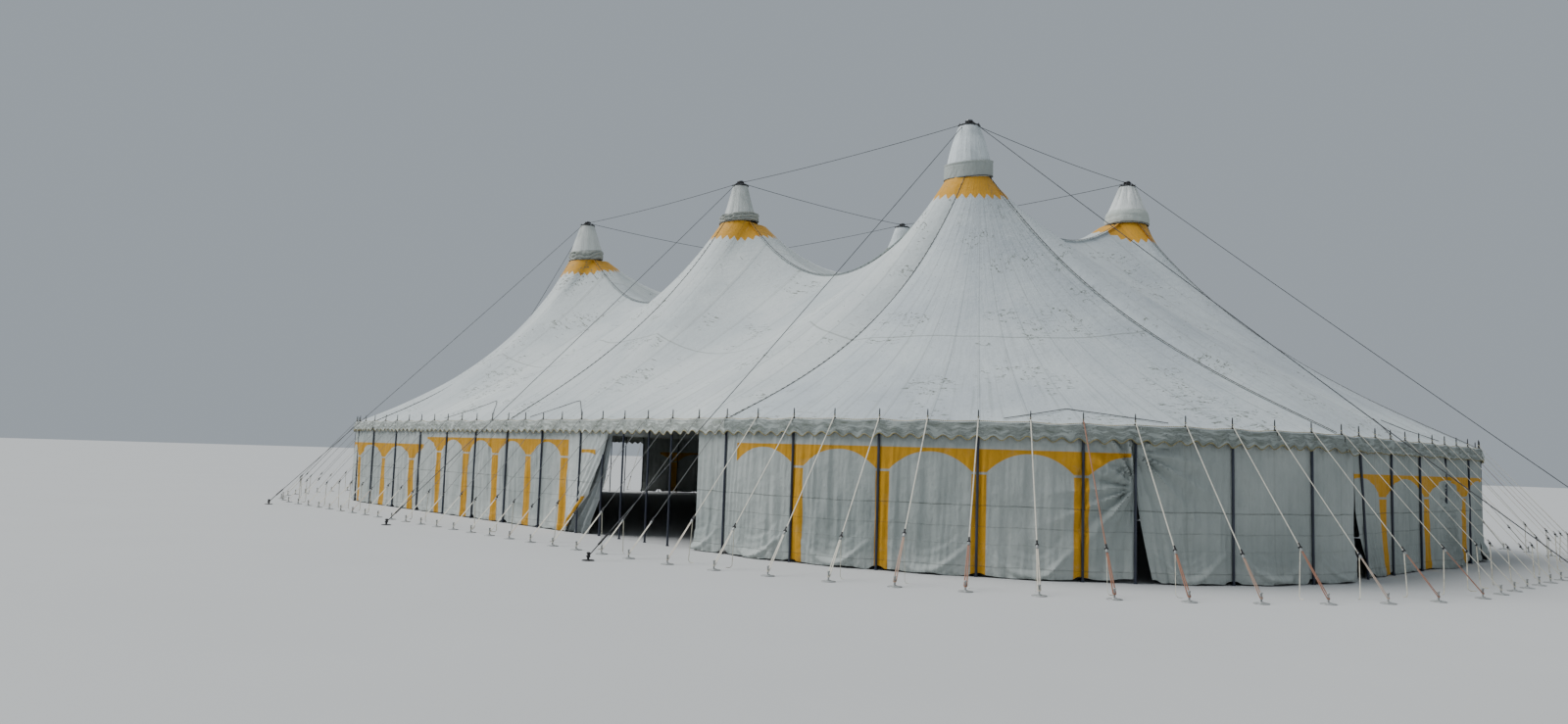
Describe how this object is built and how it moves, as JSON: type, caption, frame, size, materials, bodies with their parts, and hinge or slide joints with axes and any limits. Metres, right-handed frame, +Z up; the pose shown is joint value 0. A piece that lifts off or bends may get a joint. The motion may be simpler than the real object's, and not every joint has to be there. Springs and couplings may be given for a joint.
{
  "type": "circus big top tent, 1:2 scale model",
  "caption": "White circus big top at half scale, with king masts, laced roof canvases, curtain walls, side poles and guy ropes.",
  "frame": {"origin": "on the ground below the centre of the tent", "axes": "+Z up, +X along the length of the tent towards its right end, -Y towards the front with the entrance"},
  "size_m": [32.0434, 21.35, 7.786],
  "materials": {
    "roof_canvas": "matt coated canvas",
    "cap_canvas": "matt coated canvas",
    "curtain": "matt coated canvas",
    "mast_steel": "galvanised",
    "pole_paint": "worn satin paint",
    "guy_rope": "twisted rope",
    "rigging": "wire rope"
  },
  "bodies": {
    "root": {"roof_front_left": "roof_canvas", "roof_front_right": "roof_canvas", "roof_back_left": "roof_canvas", "roof_back_right": "roof_canvas", "roof_right_end": "roof_canvas", "roof_left_end": "roof_canvas", "roof_corner_front_right": "roof_canvas", "roof_corner_back_right": "roof_canvas", "roof_corner_back_left": "roof_canvas", "roof_corner_front_left": "roof_canvas", "roof_middle_left": "roof_canvas", "roof_middle_right": "roof_canvas", "king_mast_front_left": "mast_steel", "mast_cap_front_left": "cap_canvas", "king_mast_front_centre": "mast_steel", "mast_cap_front_centre": "cap_canvas", "king_mast_front_right": "mast_steel", "mast_cap_front_right": "cap_canvas", "king_mast_back_left": "mast_steel", "mast_cap_back_left": "cap_canvas", "king_mast_back_centre": "mast_steel", "mast_cap_back_centre": "cap_canvas", "king_mast_back_right": "mast_steel", "mast_cap_back_right": "cap_canvas", "wall_front_left": "curtain", "wall_corner_front_right": "curtain", "wall_right_end": "curtain", "wall_corner_back_right": "curtain", "wall_back": "curtain", "wall_corner_back_left": "curtain", "wall_left_end": "curtain", "wall_corner_front_left": "curtain", "entrance_curtain": "curtain", "side_poles_front_left": "pole_paint", "side_poles_entrance": "pole_paint", "side_poles_corner_front_right": "pole_paint", "side_poles_right_end": "pole_paint", "side_poles_corner_back_right": "pole_paint", "side_poles_back": "pole_paint", "side_poles_corner_back_left": "pole_paint", "side_poles_left_entrance": "pole_paint", "side_poles_left_end": "pole_paint", "side_poles_corner_front_left": "pole_paint", "guy_ropes_front": "guy_rope", "guy_ropes_right": "guy_rope", "guy_ropes_back": "guy_rope", "guy_ropes_left": "guy_rope", "mast_rigging": "rigging"}
  },
  "joints": []
}
